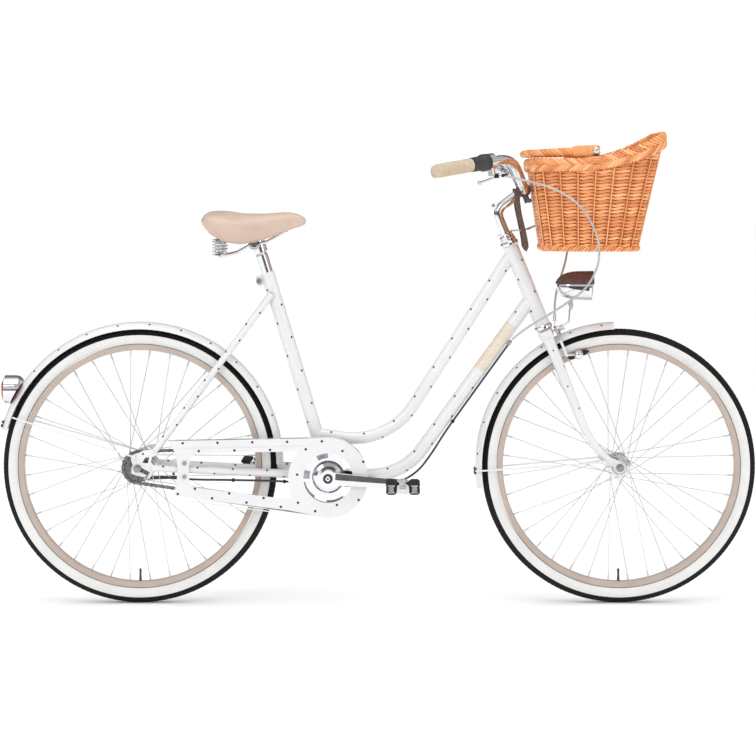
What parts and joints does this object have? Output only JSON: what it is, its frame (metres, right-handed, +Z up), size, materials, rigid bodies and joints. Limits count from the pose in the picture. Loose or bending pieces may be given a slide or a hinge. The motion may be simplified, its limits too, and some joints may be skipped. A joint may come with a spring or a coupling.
{
  "type": "city bicycle",
  "caption": "Step-through city bicycle with wire-spoked wheels, mudguards, open chain guard, sprung saddle, wicker front basket and lamps.",
  "frame": {"origin": "on the ground in the mid-plane, midway between the rear lamp lens and the front tyre's foremost point", "axes": "+X forward, +Y to the rider's left, +Z up"},
  "size_m": [1.775, 0.6248, 1.1011],
  "materials": {
    "frame_paint": "gloss white enamel with small dark dots",
    "chrome": "mirror",
    "polished_alloy": "polished",
    "zinc_steel": "zinc plated",
    "spoke_steel": "bright drawn wire",
    "chain_steel": "oiled",
    "black_steel": "black",
    "tyre_rubber": "white walls with a black tread",
    "rim_paint": "satin beige",
    "grip_rubber": "cream, ribbed",
    "shifter_plastic": "soft touch",
    "saddle_leather": "tan, smooth",
    "strap_leather": "dark brown",
    "wicker": "varnished willow",
    "clear_lens": "clear",
    "red_lens": "red, fluted",
    "cable_housing": "grey housing",
    "pad_rubber": "black",
    "pedal_rubber": "black treads"
  },
  "bodies": {
    "frame": {"head_tube": "frame_paint", "top_tube": "frame_paint", "down_tube": "frame_paint", "seat_tube": "frame_paint", "bottom_bracket": "frame_paint", "chain_stays": "frame_paint", "seat_stays": "frame_paint", "rear_dropouts": "frame_paint", "headset_cups": "chrome", "frame_bolts": "zinc_steel", "chain_guard": "frame_paint", "rear_mudguard": "frame_paint", "rear_mudguard_stays": "frame_paint", "rear_lamp_housing": "chrome", "rear_lamp_lens": "red_lens", "rear_axle": "zinc_steel", "coaster_brake_arm": "black_steel", "chain": "chain_steel", "gear_cable": "cable_housing"},
    "seat": {"seatpost": "polished_alloy", "saddle_frame": "chrome", "saddle_cover": "saddle_leather"},
    "steering": {"fork_crown": "frame_paint", "fork_blades": "frame_paint", "headset_locknut": "chrome", "stem": "polished_alloy", "handlebar": "chrome", "grips": "grip_rubber", "control_clamps": "polished_alloy", "basket": "wicker", "basket_straps": "strap_leather", "front_brackets": "chrome", "front_mudguard": "frame_paint", "front_mudguard_stays": "frame_paint", "front_axle": "zinc_steel", "brake_cable": "cable_housing", "gear_cable_loop": "cable_housing"},
    "headlamp": {"headlamp_housing": "chrome", "headlamp_lens": "clear_lens", "headlamp_cap": "strap_leather"},
    "carry_handle": {"basket_handle": "wicker"},
    "shifter": {"shift_grip": "shifter_plastic"},
    "lever": {"brake_lever": "polished_alloy"},
    "caliper_right_arm": {"caliper_right": "polished_alloy", "brake_pad_right": "pad_rubber"},
    "caliper_left_arm": {"caliper_left": "polished_alloy", "brake_pad_left": "pad_rubber"},
    "front_wheel": {"front_tyre": "tyre_rubber", "front_rim": "rim_paint", "front_spokes": "spoke_steel", "front_hub": "polished_alloy"},
    "rear_wheel": {"rear_tyre": "tyre_rubber", "rear_rim": "rim_paint", "rear_spokes": "spoke_steel", "rear_hub": "polished_alloy"},
    "rear_sprocket": {"sprocket": "chain_steel"},
    "crankset": {"chainring": "polished_alloy", "crank_arms": "polished_alloy"},
    "right_pedal": {"pedal_right": "pedal_rubber"},
    "left_pedal": {"pedal_left": "pedal_rubber"}
  },
  "joints": [
    {"name": "steering_turn", "type": "hinge", "parent": "frame", "child": "steering", "pos_m": [0.35049, 0, 0.74204], "axis": [-0.3746, 0, 0.9272], "range_deg": [-60, 60], "deforming": ["gear_cable_loop"]},
    {"name": "seat_height", "type": "slide", "parent": "frame", "child": "seat", "axis": [-0.2924, 0, 0.9563], "range_m": [-0.04, 0.06]},
    {"name": "front_wheel_spin", "type": "hinge", "parent": "steering", "child": "front_wheel", "pos_m": [0.5655, 0, 0.322], "axis": [0, 1, 0], "continuous": true},
    {"name": "rear_wheel_spin", "type": "hinge", "parent": "frame", "child": "rear_wheel", "pos_m": [-0.5595, 0, 0.322], "axis": [0, 1, 0], "continuous": true},
    {"name": "crank_turn", "type": "hinge", "parent": "frame", "child": "crankset", "pos_m": [-0.1155, 0, 0.3], "axis": [0, 1, 0], "continuous": true},
    {"name": "sprocket_turn", "type": "hinge", "parent": "frame", "child": "rear_sprocket", "pos_m": [-0.5595, 0, 0.322], "axis": [0, 1, 0], "continuous": true},
    {"name": "right_pedal_spin", "type": "hinge", "parent": "crankset", "child": "right_pedal", "pos_m": [0.05903, -0.09, 0.28718], "axis": [0, 1, 0], "continuous": true},
    {"name": "left_pedal_spin", "type": "hinge", "parent": "crankset", "child": "left_pedal", "pos_m": [-0.29003, 0.09, 0.31282], "axis": [0, 1, 0], "continuous": true},
    {"name": "headlamp_tilt", "type": "hinge", "parent": "steering", "child": "headlamp", "pos_m": [0.454, 0, 0.7], "axis": [0, 1, 0], "range_deg": [-8, 12]},
    {"name": "handle_swing", "type": "hinge", "parent": "steering", "child": "carry_handle", "pos_m": [0.5, 0, 1.061], "axis": [0, 1, 0], "range_deg": [0, 95]},
    {"name": "gear_shift", "type": "hinge", "parent": "steering", "child": "shifter", "pos_m": [0.23802, -0.20711, 1.032], "axis": [-0.7298, -0.6711, -0.13], "range_deg": [0, 70]},
    {"name": "brake_squeeze", "type": "hinge", "parent": "steering", "child": "lever", "pos_m": [0.306, 0.148, 1.009], "axis": [0.6569, 0.6172, 0.433], "range_deg": [0, 12], "stiffness_Nm_per_rad": 3, "springref_deg": -5.73},
    {"name": "right_caliper_swing", "type": "hinge", "parent": "steering", "child": "caliper_right_arm", "pos_m": [0.41825, 0, 0.64107], "axis": [0.9272, 0, 0.3746], "range_deg": [0, 1.5]},
    {"name": "left_caliper_swing", "type": "hinge", "parent": "steering", "child": "caliper_left_arm", "pos_m": [0.42428, 0, 0.64351], "axis": [0.9272, 0, 0.3746], "range_deg": [-1.5, 0]}
  ],
  "couplings": [
    {"joint": "sprocket_turn", "follows": "crank_turn", "ratio": 2.1111},
    {"joint": "right_caliper_swing", "follows": "brake_squeeze", "ratio": 0.12},
    {"joint": "left_caliper_swing", "follows": "brake_squeeze", "ratio": -0.12}
  ]
}
